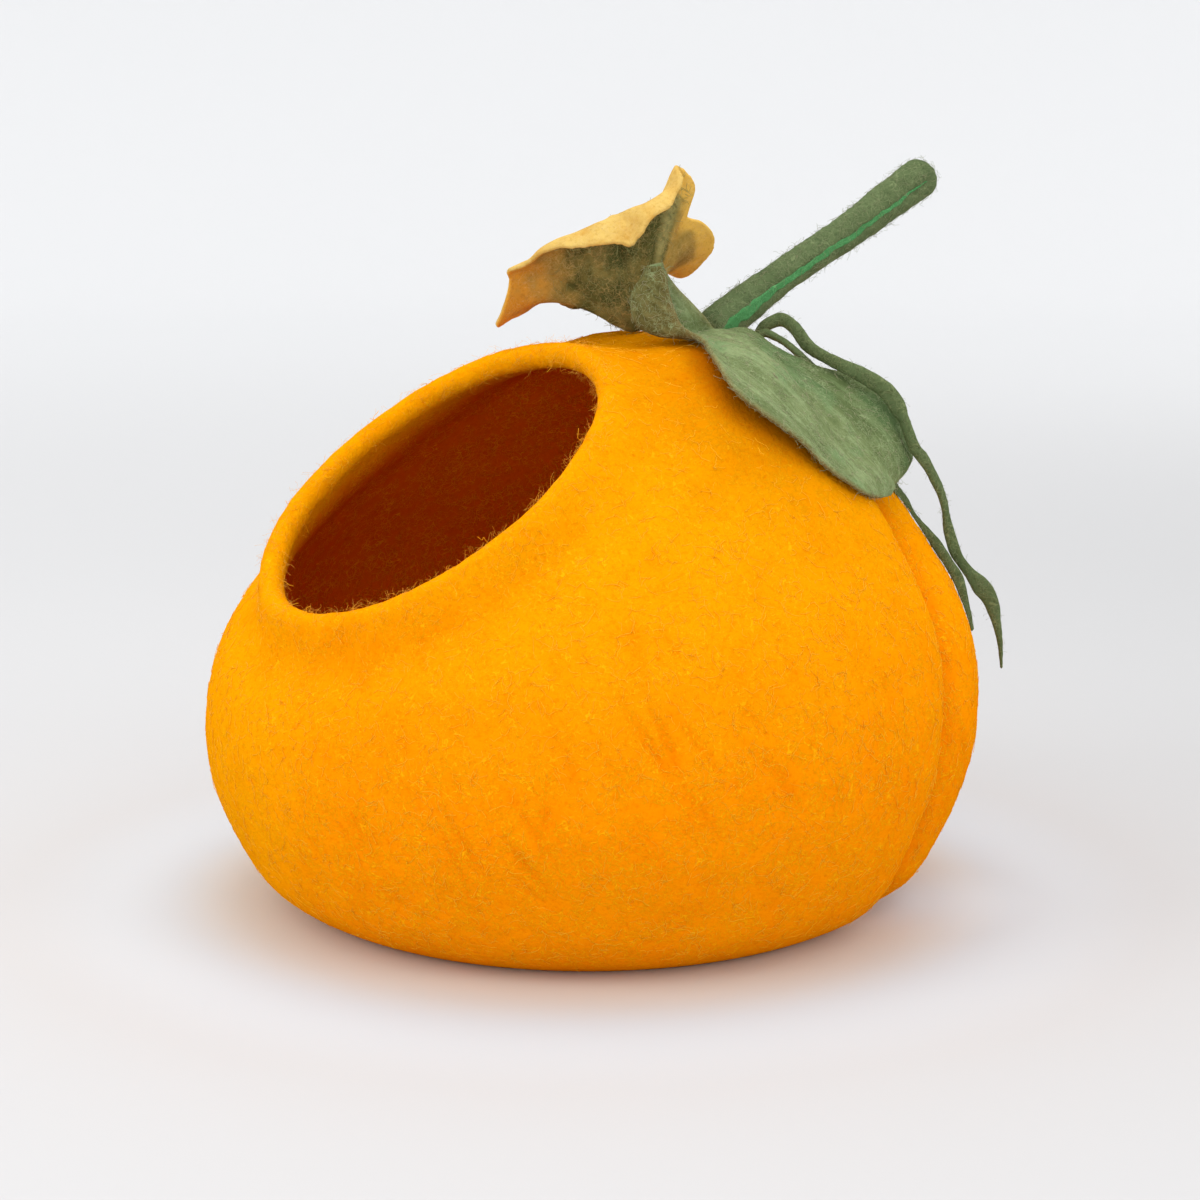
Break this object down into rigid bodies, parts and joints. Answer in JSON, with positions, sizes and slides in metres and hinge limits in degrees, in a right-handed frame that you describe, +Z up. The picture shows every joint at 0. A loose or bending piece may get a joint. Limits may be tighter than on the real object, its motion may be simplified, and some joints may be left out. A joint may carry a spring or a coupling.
{
  "type": "felt cat cave",
  "caption": "Round felt pet cave shaped like a pumpkin, with a slanted round opening, a rolled stem, a leaf, a blossom and tendrils",
  "frame": {"origin": "on the floor, at the middle of the flattened base", "axes": "+Z up, -Y towards the slanted mouth, the stem leaning back along +Y"},
  "size_m": [0.4624, 0.4847, 0.4345],
  "materials": {
    "orange_felt": "matt wet-felted wool, fine surface fibres",
    "green_felt": "matt rolled wool felt with loose fibres",
    "leaf_felt": "matt wool felt, mottled",
    "petal_felt": "matt wool felt, green to orange outside, yellow inside"
  },
  "bodies": {
    "root": {"cave_shell": "orange_felt", "stem": "green_felt", "leaf": "leaf_felt", "blossom": "petal_felt", "tendril_long": "green_felt", "tendril_back": "green_felt"}
  },
  "joints": []
}
